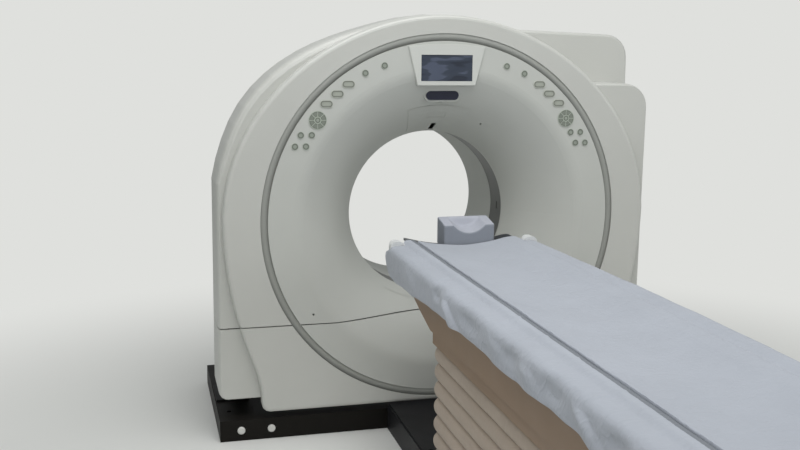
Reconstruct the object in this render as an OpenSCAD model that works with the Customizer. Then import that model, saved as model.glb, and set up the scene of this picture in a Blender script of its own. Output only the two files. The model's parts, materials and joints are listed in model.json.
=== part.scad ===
// Compact hospital ct scanner: gantry with funnel bore, and patient table in front of it.
// Millimetres. X is left and right, Y runs along the bore (gantry at +Y, table at -Y), Z is up.
// The floor is Z = 0 and the origin is the middle of the footprint.

/* [Gantry] */
// height of the bore axis above the floor
iso_h = 965; // [900:5:1050]
// free diameter of the tunnel
bore_d = 750; // [650:10:850]
// width across the side covers
gantry_w = 2000; // [1900:10:2200]
// front face to back face
gantry_depth = 850; // [780:10:1000]
// radius of the front cover above the bore
cover_top_r = 894; // [880:2:940]
// half width of the front cover at bore height
cover_side_r = 975; // [940:5:985]
// half width of the front cover at its foot
cover_foot_x = 818; // [780:2:860]
// drop of the front cover below the bore axis
cover_drop = 836; // [800:2:838]
// how far the front cover stands proud of the side covers
cover_proud = 50; // [30:5:80]
// depth of the side and top covers behind the front cover
hood_depth = 250; // [200:10:300]
// drop of the side covers below the bore axis
side_drop = 786; // [740:2:800]
// height of the cover split below the bore axis
seam_drop = 445; // [400:5:500]
// width of the shadow gap at the cover split
seam_gap = 5; // [2:0.5:8]
// wall of the moulded covers
cover_t = 6; // [4:1:10]

/* [Bore panel] */
// outer radius of the grey ring
ring_outer = 815; // [800:1:850]
// width of the grey ring
ring_w = 32; // [20:1:50]
// inner radius of the flat control band
flat_inner = 652; // [600:2:690]
// depth of the funnel from the front face to the throat
throat_depth = 275; // [200:5:320]
// depth where the dark scan window ends
window_end = 436; // [400:2:480]

/* [Controls] */
// diameter of the small round keys
key_d = 30; // [24:1:40]
// width of the oval keys
oval_w = 56; // [44:1:70]
// height of the oval keys
oval_h = 32; // [24:1:40]
// diameter of the round pad
pad_d = 78; // [60:1:90]
// travel of every key
key_travel = 2; // [1:0.5:4]

/* [Gantry base] */
// height of the black base frame
base_h = 95; // [80:5:110]
// width of the side members of the base
base_rail_w = 160; // [120:5:180]
// greatest tilt of the gantry each way, degrees
tilt_max = 18; // [10:1:18]

/* [Rotor] */
// outer radius of the turning disc
disc_r = 735; // [700:5:750]
// depth of the disc behind the front face
disc_depth = 500; // [480:5:520]
// running gap of the main bearing and the trunnions
run_gap = 0.05; // [0.02:0.01:0.1]

/* [Table] */
// from the gantry face to the foot end of the table
table_reach = 2680; // [2400:10:2900]
// from the gantry face to the near end of the side rails
table_gap = 255; // [220:5:340]
// outer width across the side rails
table_w = 640; // [600:4:700]
// width of each side rail
rail_w = 58; // [50:2:80]
// top of the side rails below the bore axis
rail_drop = 52; // [20:1:80]
// height of the side rails
rail_h = 96; // [70:2:110]
// how far the rail ends stand above the rails
cap_rise = 20; // [6:1:30]
// width of the carbon cradle
cradle_w = 470; // [400:5:480]
// edges of the cradle below the bore axis
cradle_drop = 40; // [20:1:60]
// sag of the cradle across its width
cradle_sag = 38; // [20:1:50]
// thickness of the cradle shell
cradle_t = 8; // [6:1:14]
// from the gantry face to the near end of the cradle
cradle_gap = 150; // [120:2:260]
// width of the mat
mat_w = 376; // [340:4:400]
// thickness of the mat
mat_t = 8; // [5:1:15]
// from the gantry face to the near edge of the sheet
sheet_gap = 245; // [200:5:300]
// lowest edge of the sheet below the bore axis
hem_drop = 148; // [100:2:160]
// width of the head holder
holder_w = 224; // [180:2:260]
// length of the head holder
holder_l = 110; // [90:2:150]
// height of the front of the head holder above the bore axis
holder_top = 16; // [0:1:40]
// travel of the table down from its top position
lift_travel = 350; // [250:10:360]
// travel of the cradle into the bore
cradle_travel = 1600; // [1200:50:1700]
// number of bellows pleats
pleats = 7; // [5:1:9]

/* [Output] */
// sub-part to draw

/* [Hidden] */
$fn = 96;
eps = 0.3;
front_y = (table_reach - gantry_depth) / 2;
bore_r = bore_d / 2;
ring_inner = ring_outer - ring_w;
half_w = gantry_w / 2;
hood_back = cover_proud + hood_depth;
pivot_depth = 400;
band_r = 738;

// placing helpers: gantry space has its origin on the bore axis in the front face
module gantry() translate([0, front_y, iso_h]) children();
module bore_axis(depth = 0) gantry() translate([0, depth, 0]) rotate([-90, 0, 0]) children();
module lying(x, z, depth) gantry() translate([x, depth, z]) rotate([-90, 0, 0]) children();
module block(x0, x1, y0, y1, z0, z1) translate([x0, y0, z0]) cube([x1 - x0, y1 - y0, z1 - z0]);
module pin_x(r, x0, x1, y, z) translate([x0, y, z]) rotate([0, 90, 0]) cylinder(r = r, h = x1 - x0);

// outline of the front cover seen from the front, counter-clockwise, relative to the bore axis
function cover_r(a) = cover_top_r + (cover_side_r - cover_top_r) * pow(abs(cos(a)), 3);
bulge_z = 30;
flank_r = 1700;
flank_z = -620;
foot_z = -790;
flank_x = cover_side_r - pow(flank_z - bulge_z, 2) / (2 * flank_r);
function flank(z) = z > flank_z ? cover_side_r - pow(z - bulge_z, 2) / (2 * flank_r)
  : z > foot_z ? cover_foot_x + (flank_x - cover_foot_x) * pow((z - foot_z) / (flank_z - foot_z), 2)
  : cover_foot_x;
foot_r = 36;
right_flank = concat(
  [for (a = [-90:30:0]) [cover_foot_x - foot_r + foot_r * cos(a), -cover_drop + foot_r + foot_r * sin(a)]],
  [for (z = [foot_z + 40:40:flank_z]) [flank(z), z]],
  [for (z = [flank_z + 65:65:bulge_z]) [flank(z), z]]);
cover_line = concat(right_flank,
  [for (a = [7:4.6:173]) [cover_r(a) * cos(a), cover_r(a) * sin(a)]],
  [for (i = [len(right_flank) - 1:-1:0]) [-right_flank[i][0], right_flank[i][1]]]);

// outline of the side and top covers: round shoulder on the left, square shoulder on the right
function ease(t) = let (u = min(1, max(0, t))) u * u * (3 - 2 * u);
shoulder_r = cover_top_r + 6;
function left_r(a) = shoulder_r + (half_w + 10 - shoulder_r) * ease((75 - a) / 50);
box_top = 600;
box_r = 110;
side_foot_r = 40;
function side_line(drop, foot, tuck) = let (w = half_w - tuck, top = box_top - tuck) concat(
  [for (a = [-90:22.5:0]) [w - foot + foot * cos(a), -drop + foot + foot * sin(a)]],
  [for (a = [0:11.25:90]) [w - box_r + box_r * cos(a), top - box_r + box_r * sin(a)]],
  [for (a = [40.5:5.5:90]) (cover_r(a) - 4 - tuck) * [cos(a), sin(a)]],
  [for (a = [85:-5:10]) let (r = left_r(a) - tuck) [-min(w, r * cos(a)), r * sin(a)]],
  [for (a = [180:22.5:270]) [-w + foot + foot * cos(a), -drop + foot + foot * sin(a)]]);
rear_tuck = 48;
rear_half = half_w - rear_tuck;
hood_line = side_line(side_drop, side_foot_r, 0);
rear_drop = side_drop - 86;
rear_line = side_line(rear_drop, 60, rear_tuck);
// the front edge is rounded widely on the left shoulder and tightly elsewhere
hood_soft = [for (q = hood_line) 0.34 + (q[0] < 0 ? 0.66 * ease((q[1] - 60) / 300) : 0)];

// slab along the bore axis; each layer is a depth, how far the outline is drawn in there, scaled
// point by point by the soft list where one is given, and a further inset that isn't scaled
function normal(p, i) = let (n = len(p), a = p[(i + n - 1) % n], b = p[(i + 1) % n], d = b - a)
  [d[1], -d[0]] / norm(d);
module slab(line, layers, soft = []) {
  n = len(line);
  m = len(layers);
  gantry() polyhedron(
    points = [for (k = layers) for (i = [0:n - 1]) let (
      q = line[i] - (k[1] * (len(soft) > 0 ? soft[i] : 1) + (len(k) > 2 ? k[2] : 0)) * normal(line, i))
      [q[0], k[0], q[1]]],
    faces = concat([[for (i = [n - 1:-1:0]) i]],
      [for (k = [0:m - 2]) for (i = [0:n - 1])
        [k * n + i, k * n + (i + 1) % n, (k + 1) * n + (i + 1) % n, (k + 1) * n + i]],
      [[for (i = [0:n - 1]) (m - 1) * n + i]]));
}
module above_seam(drop = seam_drop) intersection() {
  children();
  gantry() block(-1500, 1500, -600, 1500, -drop + seam_gap / 2, 1500);
}
module below_seam(drop = seam_drop) intersection() {
  children();
  gantry() block(-1500, 1500, -600, 1500, -1500, -drop - seam_gap / 2);
}

// front cover: a shallow tray with a soft rim and a round opening; its foot is a solid moulding
module front_tray() difference() {
  slab(cover_line, [[0, 18], [2, 10], [7, 4], [16, 1], [28, 0], [cover_proud - eps, 0]]);
  bore_axis(-1) cylinder(r = ring_outer + eps, h = cover_proud + 2, $fn = 180);
}
module tray_hollow() difference() {
  from_front(2 * cover_t, cover_proud) offset_line(cover_line, -cover_t - 3);
  bore_axis(-1) cylinder(r = ring_outer + eps + cover_t, h = cover_proud + 4, $fn = 180);
}
module front_cover_upper() color("#dfe0d6") above_seam() difference() {
  front_tray();
  tray_hollow();
}
module front_cover_lower() color("#dfe0d6") below_seam() front_tray();

// side and top covers: open at the back and under the foot
side_seam_drop = seam_drop + 13;
module hood() difference() {
  slab(hood_line, [[cover_proud, 28], [cover_proud + 4, 18], [cover_proud + 14, 8],
    [cover_proud + 34, 2], [cover_proud + 60, 0], [hood_back, 0]], hood_soft);
  slab(hood_line, [[cover_proud + cover_t, 30, cover_t], [cover_proud + 40, 8, cover_t],
    [cover_proud + 70, 0, cover_t], [hood_back + 1, 0, cover_t]], hood_soft);
  slab(cover_line, [[cover_proud - 10, 20], [cover_proud + cover_t + 2, 20]]);
  gantry() block(-half_w + 18, half_w - 18, cover_proud + cover_t, hood_back + 1,
    -side_drop - 10, -side_drop + 60);
}
module side_cover_upper() color("#dcddd3") above_seam(side_seam_drop) hood();
module side_cover_lower() color("#d8d8ce") below_seam(side_seam_drop) hood();

// stepped box that carries the cooling air behind the right shoulder
box_foot = box_top - 60;
box_high = cover_top_r - 68;
box_in = 300;
box_line = concat(
  [[half_w, box_foot]],
  [for (a = [0:15:90]) [half_w - box_r + box_r * cos(a), box_high - box_r + box_r * sin(a)]],
  [[box_in + 130, box_high + 16], [box_in, box_high + 20], [box_in, box_foot]]);
box_front = 280;
module top_box() color("#dcddd3") difference() {
  slab(box_line, [[box_front, 12], [box_front + 3, 5], [box_front + 9, 1], [box_front + 18, 0],
    [gantry_depth - 80, 0], [gantry_depth - 60, 8]]);
  slab(box_line, [[box_front + cover_t, 20], [box_front + 24, cover_t],
    [gantry_depth - 90, cover_t]]);
  slab(hood_line, [[0, -eps], [hood_back + flange_t + 1 + eps, -eps]]);
  slab(rear_line, [[hood_back, -eps], [gantry_depth, -eps]]);
}

// back cover with the rear mouth of the tunnel
flange_t = 12;
module rear_cover() color("#d8d9cf") difference() {
  slab(rear_line, [[hood_back + eps, 6 - rear_tuck], [hood_back + flange_t, 6 - rear_tuck],
    [hood_back + flange_t + 1, 0], [gantry_depth - 100, 6], [gantry_depth - 40, 18],
    [gantry_depth - 12, 34], [gantry_depth, 52]]);
  slab(rear_line, [[hood_back - 1, cover_t], [gantry_depth - 108, cover_t + 8],
    [gantry_depth - 48, cover_t + 22], [gantry_depth - cover_t, 58]]);
  gantry() block(-rear_half + 20, rear_half - 20, hood_back - 1, gantry_depth - 90,
    -rear_drop - 60, -rear_drop + 60);
  bore_axis(gantry_depth - 60) cylinder(r = bore_r + 105 + eps, h = 100, $fn = 120);
}

// funnel: a concave curve from the flat band to the throat
mid_r = 487;
mid_y = 105;
function arc3(a, b, c) = let (
  d = 2 * (a[0] * (b[1] - c[1]) + b[0] * (c[1] - a[1]) + c[0] * (a[1] - b[1])),
  ux = ((a * a) * (b[1] - c[1]) + (b * b) * (c[1] - a[1]) + (c * c) * (a[1] - b[1])) / d,
  uy = ((a * a) * (c[0] - b[0]) + (b * b) * (a[0] - c[0]) + (c * c) * (b[0] - a[0])) / d)
  [ux, uy, norm(a - [ux, uy])];
bell = arc3([flat_inner, 0], [mid_r, mid_y], [bore_r, throat_depth]);
// the flat band rolls into the funnel over a smaller arc that touches both
roll_r = 120;
roll_at = bell[0] - sqrt(pow(bell[2] - roll_r, 2) - pow(roll_r - bell[1], 2));
roll_end = bell[0] + bell[2] * (roll_at - bell[0]) / (bell[2] - roll_r);
function bell_depth(r) = r > roll_at ? 0
  : r > roll_end ? roll_r - sqrt(max(0, pow(roll_r, 2) - pow(r - roll_at, 2)))
  : bell[1] - sqrt(max(0, pow(bell[2], 2) - pow(r - bell[0], 2)));
module wall_arc(x, y, r, from, to) intersection() {
  translate([x, y]) difference() {
    circle(r = r, $fn = 180);
    circle(r = r - cover_t, $fn = 180);
  }
  translate([from, -20]) square([to - from, min(throat_depth, y) + 20]);
}
module panel_profile() {
  wall_arc(bell[0], bell[1], bell[2], bore_r, roll_end);
  wall_arc(roll_at, roll_r, roll_r, roll_end - 0.01, roll_at);
  translate([bore_r, throat_depth - 1]) square([cover_t, 15]);
  translate([roll_at - 1, 0]) square([ring_inner - eps - roll_at + 1, cover_t + 1]);
  translate([ring_inner - 14, 1]) square([14 - eps, 23]);
}

// key positions on the left; the right side mirrors them: across, up, kind
KEYS = [[277, 676, 0], [361, 644, 0], [434, 597, 1], [482, 556, 1], [529, 514, 1], [567, 446, 2],
  [593, 383, 0], [640, 383, 0], [618, 335, 0], [665, 335, 0]];
module key_shape(kind, grow) {
  if (kind == 0) circle(d = key_d + 2 * grow, $fn = 48);
  if (kind == 1) {
    square([oval_w - oval_h, oval_h + 2 * grow], center = true);
    for (s = [-1, 1]) translate([s * (oval_w - oval_h) / 2, 0]) circle(d = oval_h + 2 * grow, $fn = 48);
  }
  if (kind == 2) circle(d = pad_d + 2 * grow, $fn = 72);
}
module key_at(side, i, z0, h, grow)
  lying(side * KEYS[i][0], KEYS[i][1], z0) linear_extrude(h) key_shape(KEYS[i][2], grow);
pad_depth = 1.2;
key_proud = 3;
module keycap(side, i) color(KEYS[i][2] == 0 ? "#8f9a8c" : "#b9bdb0") difference() {
  union() {
    key_at(side, i, -key_proud, key_proud + cover_t + 1 + 2 * eps, -eps);
    key_at(side, i, cover_t + 1 + eps, 3, 2.5);
  }
  if (KEYS[i][2] == 2) {
    lying(side * KEYS[i][0], KEYS[i][1], -key_proud - 1) linear_extrude(pad_depth + 1) {
      difference() {
        circle(r = 13.2, $fn = 48);
        circle(r = 11.6, $fn = 48);
      }
      for (a = [0:45:315]) rotate(a + 22.5) translate([15, -0.8]) square([19, 1.6]);
    }
    for (a = [0:45:315]) lying(side * KEYS[i][0] + 25 * cos(a), KEYS[i][1] + 25 * sin(a), -key_proud - 1)
      cylinder(r = 3.2, h = 1 + pad_depth, $fn = 20);
  }
  if (KEYS[i][2] == 1) for (s = [-1, 1])
    lying(side * KEYS[i][0] + s * 14, KEYS[i][1], -key_proud - 1) cylinder(r = 6, h = 1 + pad_depth, $fn = 32);
  if (KEYS[i][2] == 0) lying(side * KEYS[i][0], KEYS[i][1], -key_proud - 1) cylinder(r = 7, h = 1 + pad_depth, $fn = 32);
}

// display: a keystone visor just under the ring
bezel_top = 759;
bezel_bottom = 591;
bezel_depth = 64;
bezel_line = [[131, bezel_bottom], [174, bezel_top], [86, 768], [0, 771], [-86, 768],
  [-174, bezel_top], [-131, bezel_bottom]];
module bezel_shape(grow) offset_line(bezel_line, grow);
module offset_line(p, grow) polygon([for (i = [0:len(p) - 1]) let (v = normal(p, i)) p[i] + grow * v]);
module from_front(depth, h) gantry() translate([0, depth + h, 0]) rotate([90, 0, 0])
  linear_extrude(h) children();
screen_w = 232;
screen_h = 113;
screen_z = 667;
module display_bezel() color("#e3e4de") difference() {
  union() {
    from_front(-7, 7 + bezel_depth) bezel_shape(-3);
    from_front(-3, 3 + bezel_depth) bezel_shape(0);
  }
  from_front(-8, 12) translate([0, screen_z]) square([screen_w, screen_h], center = true);
  from_front(10, 100) translate([0, screen_z]) square([screen_w - 20, screen_h - 20], center = true);
  bore_axis() rotate_extrude($fn = 180) polygon(concat(
    [for (r = [500:(roll_at - 500) / 9:roll_at - 1]) [r, bell_depth(r) + cover_t + 4]],
    [[roll_at, cover_t + 4], [roll_at + 200, cover_t + 4], [roll_at + 200, 300], [500, 300]]));
}
module display_screen() color("#30363f")
  from_front(-4, 7.7) translate([0, screen_z]) square([screen_w - 2 * eps, screen_h - 2 * eps], center = true);

// dark oval window under the display
oval_z = 547;
oval_half = 55;
oval_r = 20;
module oval_prism(depth, h, grow) from_front(depth, h) translate([-3, oval_z]) {
  square([2 * oval_half, 2 * (oval_r + grow)], center = true);
  for (s = [-1, 1]) translate([s * oval_half, 0]) circle(r = oval_r + grow, $fn = 40);
}
module sensor_window() color("#23252c") difference() {
  oval_prism(44, 60, -eps);
  oval_prism(70, 60, -5);
}

module panel_body() difference() {
  union() {
    bore_axis() rotate_extrude($fn = 180) panel_profile();
    oval_prism(49, 45, 7);
    plate_pad();
  }
  for (s = [-1, 1]) for (i = [0:len(KEYS) - 1]) key_at(s, i, -1, cover_t + 4, 0);
  from_front(-10, bezel_depth + 40) bezel_shape(eps);
  oval_prism(20, 100, 0);
  for (s = [-1, 1]) lying(s * 589, -401, -1) cylinder(r = 5, h = cover_t + 4, $fn = 24);
  // laser slot and lamp hole above the throat
  lying(3.5, 400, 180) block(-11.5, 11.5, -15, 15, 0, 90);
  bore_axis() rotate([0, 0, -96]) rotate_extrude(angle = 11, $fn = 180)
    polygon([[446, bell_depth(446) - 5], [472, bell_depth(472) - 5], [472, bell_depth(472) - 1],
      [446, bell_depth(446) - 1]]);
  lying(207, 414, 120) cylinder(r = 4, h = 100, $fn = 16);
  // short seam of the drip lip under the throat
  bore_axis() rotate([0, 0, 57]) rotate_extrude(angle = 66, $fn = 180)
    polygon([[lip_r, bell_depth(lip_r) - 4], [lip_r + lip_w, bell_depth(lip_r + lip_w) - 4],
      [lip_r + lip_w, bell_depth(lip_r + lip_w) + 3.5], [lip_r, bell_depth(lip_r) + 3.5]]);
}
lip_r = 408;
lip_w = 6;
// thin keystone plate around the laser slot, following the funnel
module plate_pad() bore_axis() rotate([0, 0, -107]) rotate_extrude(angle = 34, $fn = 180)
  polygon(concat([for (r = [394:18:502]) [r, bell_depth(r) - 3.5]],
    [for (r = [502:-18:394]) [r, bell_depth(r) + 2]]));
module bore_panel_upper() color("#dedfd6") above_seam() panel_body();
module bore_panel_lower() color("#d9d9cf") below_seam() panel_body();

module ring_trim() color("#8b8d86") bore_axis() rotate_extrude($fn = 180) polygon([
  [ring_inner, 6], [ring_outer, 4], [ring_outer, 30], [ring_inner, 30]]);

// tunnel: dark scan window, then a pale tube with a flared rear mouth
module scan_window() color("#4a4b48") difference() {
  bore_axis() rotate_extrude($fn = 120) polygon([
    [bore_r + 1, throat_depth + 14 + eps], [bore_r + 5, throat_depth + 14 + eps],
    [bore_r + 5, window_end - eps], [bore_r + 1, window_end - eps]]);
  // side laser windows
  for (s = [-1, 1]) gantry() translate([s * bore_r, 340, 3]) cube([6, 35, 35], center = true);
}
mouth_y = gantry_depth - 90;
module tunnel() color("#dddfd8") bore_axis() rotate_extrude($fn = 120) polygon(concat(
  [[bore_r + 5, window_end], [bore_r, window_end], [bore_r, mouth_y]],
  [for (a = [10:10:90]) [bore_r + 90 * (1 - cos(a)), mouth_y + 90 * sin(a)]],
  [[bore_r + 105, gantry_depth], [bore_r + 105, gantry_depth - 20], [bore_r + 92, gantry_depth - 20]],
  [for (a = [70:-10:10]) [bore_r + 7 + 84 * (1 - cos(a)), mouth_y + 84 * sin(a)]],
  [[bore_r + 7, mouth_y], [bore_r + 7, window_end + 20], [bore_r + 5, window_end + 20]]));

// gantry base: a floor pan with a raised frame, and two white-capped anchors each side
base_front = 30;
// the front member passes under the foot of the front cover
foot_clear = iso_h - cover_drop;
front_member = foot_clear - 34;
module gantry_base() color("#1d1c1b") difference() {
  gantry() {
    block(-half_w + 1, half_w - 1, base_front + 1, gantry_depth - 1, -iso_h, -iso_h + 12);
    for (s = [0, 1]) translate([s * (gantry_w - base_rail_w), 0, 0])
      block(-half_w, -half_w + base_rail_w, base_front, gantry_depth, -iso_h, -iso_h + base_h);
    block(-half_w + 20, half_w - 20, base_front, base_front + 50, -iso_h, -iso_h + front_member);
    block(-half_w + 20, half_w - 20, gantry_depth - 70, gantry_depth, -iso_h, -iso_h + base_h);
  }
  for (s = [-1, 1]) for (x = CAP_X) lying(s * x, cap_z, base_front - 1) cylinder(r = 9, h = 40, $fn = 32);
  for (s = [-1, 1]) for (y = [150, 720]) gantry() translate([s * (half_w - 50), y, -iso_h - 1])
    cylinder(r = 11, h = base_h + 2, $fn = 32);
}
CAP_X = [908, 775];
cap_z = front_member / 2 - iso_h;
module anchor_caps() color("#e8e8e4") for (s = [-1, 1]) for (x = CAP_X) {
  lying(s * x, cap_z, base_front - 9) cylinder(r1 = 13, r2 = 17, h = 4, $fn = 40);
  lying(s * x, cap_z, base_front - 5) cylinder(r = 17, h = 5, $fn = 40);
  lying(s * x, cap_z, base_front - 2) cylinder(r = 9, h = 32, $fn = 32);
}

// tilt posts: upright box sections with a bearing eye each
post_out = rear_half - 27;
post_in = post_out - 80;
post_half = 50;
shaft_r = 36;
module tilt_posts() color("#2a2a2a") for (s = [-1, 1]) difference() {
  gantry() union() {
    block(min(s * post_in, s * post_out), max(s * post_in, s * post_out), pivot_depth - post_half,
      pivot_depth + post_half, -iso_h + base_h, 40);
    block(min(s * (half_w - base_rail_w + 5), s * (half_w - 5)), max(s * (half_w - base_rail_w + 5), s * (half_w - 5)),
      pivot_depth - 110, pivot_depth + 110, -iso_h + base_h, -iso_h + base_h + 8);
    pin_x(88, min(s * (post_in - 5), s * (post_out + 5)), max(s * (post_in - 5), s * (post_out + 5)), pivot_depth, 0);
  }
  gantry() pin_x(shaft_r + run_gap, -half_w, half_w, pivot_depth, 0);
}
module tilt_gearbox() color("#5b6064") gantry() {
  block(-post_out + 8, -post_in - 8, pivot_depth + post_half, pivot_depth + 170, -230, -110);
  translate([-(post_in + post_out) / 2, pivot_depth + 112, -230 - 190]) cylinder(r = 42, h = 190);
}

// stator: a thick ring plate with arms and trunnion shafts
stator_y = 570;
stator_t = 40;
hub_out = 460;
race_r = 480;
stator_r = 790;
module stator_frame() color("#707679") gantry() {
  difference() {
    union() {
      translate([0, stator_y, 0]) rotate([-90, 0, 0]) cylinder(r = stator_r, h = stator_t, $fn = 120);
      for (s = [-1, 1]) {
        block(min(s * (stator_r - 42), s * stator_r), max(s * (stator_r - 42), s * stator_r),
          pivot_depth - 80, stator_y + stator_t, -110, 110);
        pin_x(shaft_r, min(s * (stator_r - 1), s * post_out), max(s * (stator_r - 1), s * post_out), pivot_depth, 0);
        pin_x(60, min(s * (stator_r - 1), s * (post_in - 6)), max(s * (stator_r - 1), s * (post_in - 6)), pivot_depth, 0);
      }
    }
    translate([0, stator_y - 1, 0]) rotate([-90, 0, 0]) cylinder(r = hub_out + run_gap, h = stator_t + 2, $fn = 180);
    translate([0, stator_y - 1, -1500 + -560]) block(-900, 900, 0, 100, 0, 1500);
    translate([0, stator_y - 1, 560]) block(-900, 900, 0, 100, 0, 600);
    for (a = [45:90:225]) translate([620 * cos(a), stator_y - 1, 620 * sin(a)]) rotate([-90, 0, 0])
      cylinder(r = 70, h = stator_t + 2);
    translate([motor_x, stator_y - 1, motor_z]) rotate([-90, 0, 0]) cylinder(r = 20, h = stator_t + 2);
  }
  // brackets that carry the bore panel and the ring
  for (a = [30, 150, -40, -140]) rotate([0, -a, 0]) {
    block(752, ring_outer - 3, 30 + eps, stator_y + 1, -22, 22);
    block(752, ring_inner - 2 * eps, 24 + eps, 31, -22, 22);
  }
}

// rotor: disc, hub and belt rim in one casting
hub_in = 400;
rim_r = 500;
rim_y = disc_depth + 30;
hub_end = disc_depth + 160;
collar_y = disc_depth - 170;
slip_r = hub_out + 100;
module rotor_disc() color("#83888a") bore_axis() {
  rotate_extrude($fn = 180) polygon([[hub_in, disc_depth], [disc_r, disc_depth], [disc_r, disc_depth + 22],
    [rim_r, disc_depth + 22], [rim_r, disc_depth + 60], [hub_out, disc_depth + 60], [hub_out, hub_end], [hub_in, hub_end]]);
  rotate_extrude($fn = 180) polygon([[hub_in, collar_y], [hub_in + 14, collar_y],
    [hub_in + 14, disc_depth + 1], [hub_in, disc_depth + 1]]);
}
module xray_tube() color("#a8abac") {
  lying(0, 590, disc_depth - 190) cylinder(r = 95, h = 190);
  gantry() block(-75, 75, disc_depth - 150, disc_depth, 455, 520);
  lying(0, 590, disc_depth - 200) cylinder(r = 60, h = 12);
}
pack_out = disc_r - 45;
module hv_generator() color("#9aa58f") gantry() {
  rotate([0, -150, 0]) block(pack_out - 220, pack_out, disc_depth - 180, disc_depth, -130, 130);
  rotate([0, -30, 0]) block(pack_out - 220, pack_out - 10, disc_depth - 160, disc_depth, -110, 110);
}
module detector() color("#6d7378") bore_axis() rotate([0, 0, 62]) {
  rotate_extrude(angle = 56, $fn = 180) polygon([[pack_out - 130, disc_depth - 170],
    [pack_out - 50, disc_depth - 170], [pack_out - 50, disc_depth - 120], [pack_out, disc_depth - 120],
    [pack_out, disc_depth - eps], [pack_out - 130, disc_depth - eps]]);
}
module slip_ring() color("#b08d57") bore_axis() difference() {
  translate([0, 0, stator_y + stator_t + 8]) cylinder(r = slip_r, h = 28, $fn = 160);
  translate([0, 0, stator_y + stator_t]) cylinder(r = hub_out + run_gap, h = 60, $fn = 180);
  for (r = [hub_out + 30:18:hub_out + 84]) translate([0, 0, stator_y + stator_t + 32]) difference() {
    cylinder(r = r + 4, h = 10, $fn = 120);
    translate([0, 0, -1]) cylinder(r = r - 4, h = 12, $fn = 120);
  }
}

// belt drive of the rotor
motor_a = -38;
motor_dist = 690;
pulley_r = 50;
belt_y = disc_depth + 34;
belt_h = 20;
motor_x = motor_dist * cos(motor_a);
motor_z = motor_dist * sin(motor_a);
module rotor_motor() color("#3d4347") {
  lying(motor_x, motor_z, stator_y + stator_t) cylinder(r = 78, h = 150);
  lying(motor_x, motor_z, belt_y - 2) cylinder(r = 16, h = stator_y + stator_t - belt_y + 3, $fn = 40);
}
module motor_pulley() color("#8d9194") difference() {
  lying(motor_x, motor_z, belt_y) cylinder(r = pulley_r, h = belt_h);
  lying(motor_x, motor_z, belt_y - 1) cylinder(r = 16 + run_gap, h = belt_h + 2, $fn = 40);
}
belt_wrap = acos((rim_r - pulley_r) / motor_dist);
module belt_line(grow) union() {
  circle(r = rim_r + grow, $fn = 180);
  translate([motor_dist, 0]) circle(r = pulley_r + grow, $fn = 60);
  polygon(concat(
    [for (s = [1, -1]) (rim_r + grow) * [cos(s * belt_wrap), sin(s * belt_wrap)]],
    [for (s = [-1, 1]) [motor_dist, 0] + (pulley_r + grow) * [cos(s * belt_wrap), sin(s * belt_wrap)]]));
}
module drive_belt() color("#26282a") bore_axis(belt_y) rotate([0, 0, -motor_a]) linear_extrude(belt_h)
  difference() {
    belt_line(eps + 4);
    belt_line(eps);
  }

// table base: low black plinth that runs up to the gantry base
table_half = 245;
plinth_h = foot_clear - 9;
bellows_near = 661;
bellows_far = 1960;
module table_base() color("#26262a") gantry() difference() {
  union() {
    block(-table_half, table_half, -bellows_far - 40, base_front - eps, -iso_h, -iso_h + plinth_h - 6);
    block(-table_half + 6, table_half - 6, -bellows_far - 34, base_front - 6, -iso_h, -iso_h + plinth_h);
  }
  block(-column_w / 2 - 2, column_w / 2 + 2, column_y - column_w / 2 - 2, column_y + column_w / 2 + 2,
    -iso_h + 14, -iso_h + plinth_h + 1);
  for (s = [-1, 1]) for (y = [-bellows_far + 20, -bellows_near + 120]) translate([s * 205, y, -iso_h - 1])
    cylinder(r = 9, h = plinth_h + 2, $fn = 32);
}

// three-stage lifting column inside the bellows
column_y = -1310;
column_w = 300;
stage_t = 12;
plate_x = column_w / 2 + 20;
plate_y = column_w + 120;
slide_gap = 0.4;
column_foot = 14;
skirt_top = 300;
skirt_bottom = 360;
stage_low = column_foot + 8 + eps;
stage_h = iso_h - skirt_bottom - lift_travel - stage_low - 1;
module stage(w, z0, h) gantry() translate([0, column_y, -iso_h + z0]) difference() {
  translate([-w / 2, -w / 2, 0]) cube([w, w, h]);
  translate([-w / 2 + stage_t, -w / 2 + stage_t, -1]) cube([w - 2 * stage_t, w - 2 * stage_t, h + 2]);
}
module column_outer() color("#7b8084") {
  stage(column_w, column_foot, stage_h + 6);
  gantry() block(-column_w / 2 + 1, column_w / 2 - 1, column_y - column_w / 2 + 1,
    column_y + column_w / 2 - 1, -iso_h + column_foot, -iso_h + column_foot + 8);
}
module column_middle() color("#8d9295")
  stage(column_w - 2 * (stage_t + slide_gap), stage_low + lift_travel / 2, stage_h);
module column_inner() color("#a3a8ab") {
  stage(column_w - 4 * (stage_t + slide_gap), stage_low + lift_travel, stage_h + 2);
  gantry() block(-plate_x, plate_x, column_y - plate_y, column_y + plate_y, -skirt_bottom, -skirt_bottom + 16);
}

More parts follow.
